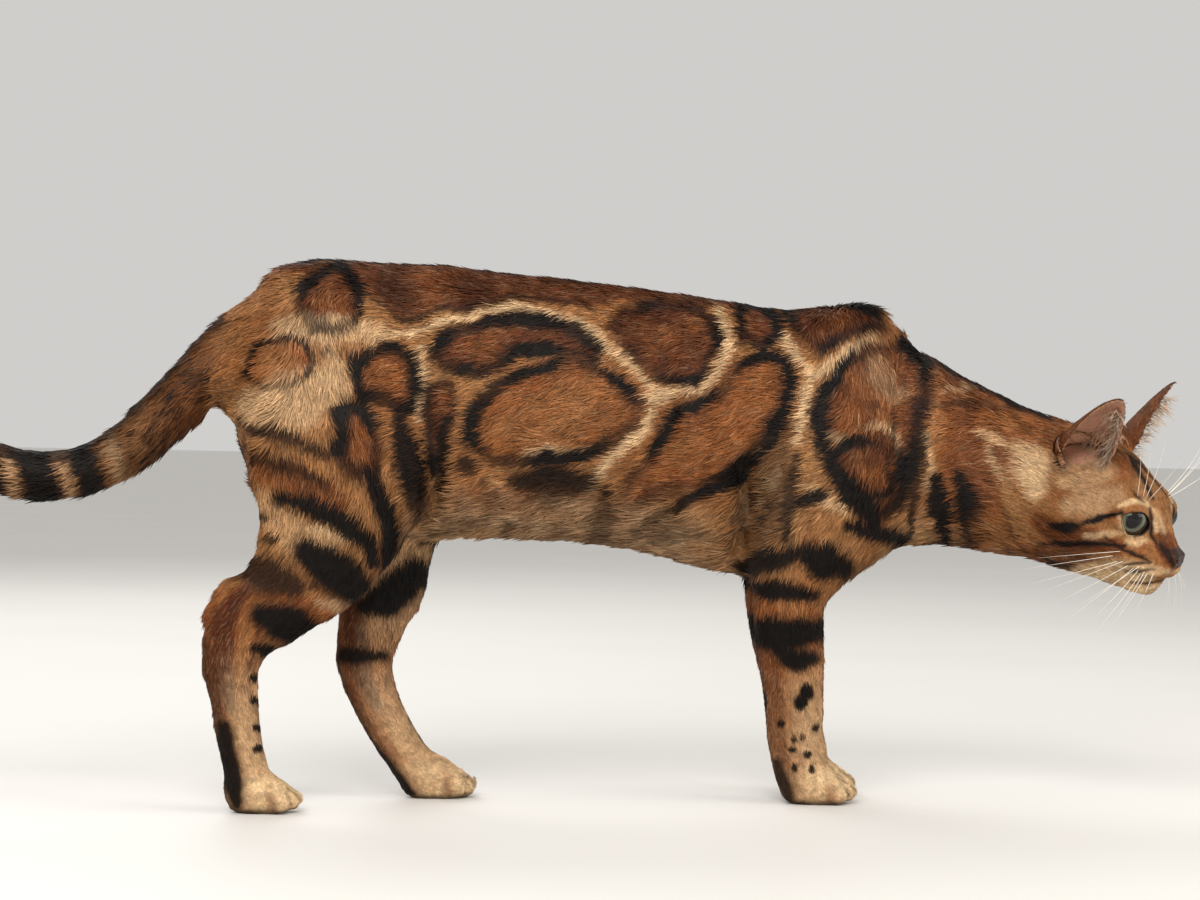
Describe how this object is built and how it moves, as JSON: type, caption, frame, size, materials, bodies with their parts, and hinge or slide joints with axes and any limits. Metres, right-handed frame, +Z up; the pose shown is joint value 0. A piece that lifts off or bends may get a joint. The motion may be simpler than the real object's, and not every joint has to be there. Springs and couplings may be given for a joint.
{
  "type": "cat",
  "caption": "Slim spotted domestic cat in mid-step, head lowered and turned to its right, as a still life-size figure standing on its paws.",
  "frame": {"origin": "middle of the bounding box on the floor that the paws stand on", "axes": "+X forwards along the body, +Y to the cat's left, +Z up"},
  "size_m": [0.7282, 0.1648, 0.3023],
  "materials": {
    "coat_back": "short rust-brown fur",
    "coat_flank": "short rust-brown fur",
    "coat_leg": "short tan fur",
    "coat_toe": "short pale fur",
    "coat_dark": "short black fur",
    "coat_face": "short tan fur",
    "coat_chin": "short pale fur",
    "ear_skin": "thin pink-brown skin with sparse fur",
    "nose_leather": "dark bare skin",
    "eye": "wet clear surface over a pale green iris"
  },
  "bodies": {
    "root": {"rump": "coat_back", "loin": "coat_flank", "chest": "coat_back", "neck": "coat_flank", "tail_base": "coat_leg", "tail_middle": "coat_dark", "tail_tip": "coat_dark", "eye_left": "eye", "eye_right": "eye", "ear_left": "ear_skin", "ear_right": "ear_skin", "head": "coat_face", "jaw": "coat_chin", "nose": "nose_leather", "front_right_upper_arm": "coat_back", "front_right_forearm": "coat_leg", "front_right_paw": "coat_toe", "front_left_upper_arm": "coat_back", "front_left_forearm": "coat_leg", "front_left_paw": "coat_toe", "hind_right_thigh": "coat_back", "hind_right_shank": "coat_leg", "hind_right_metatarsus": "coat_leg", "hind_right_paw": "coat_toe", "hind_left_thigh": "coat_back", "hind_left_shank": "coat_leg", "hind_left_metatarsus": "coat_leg", "hind_left_paw": "coat_toe"}
  },
  "joints": []
}
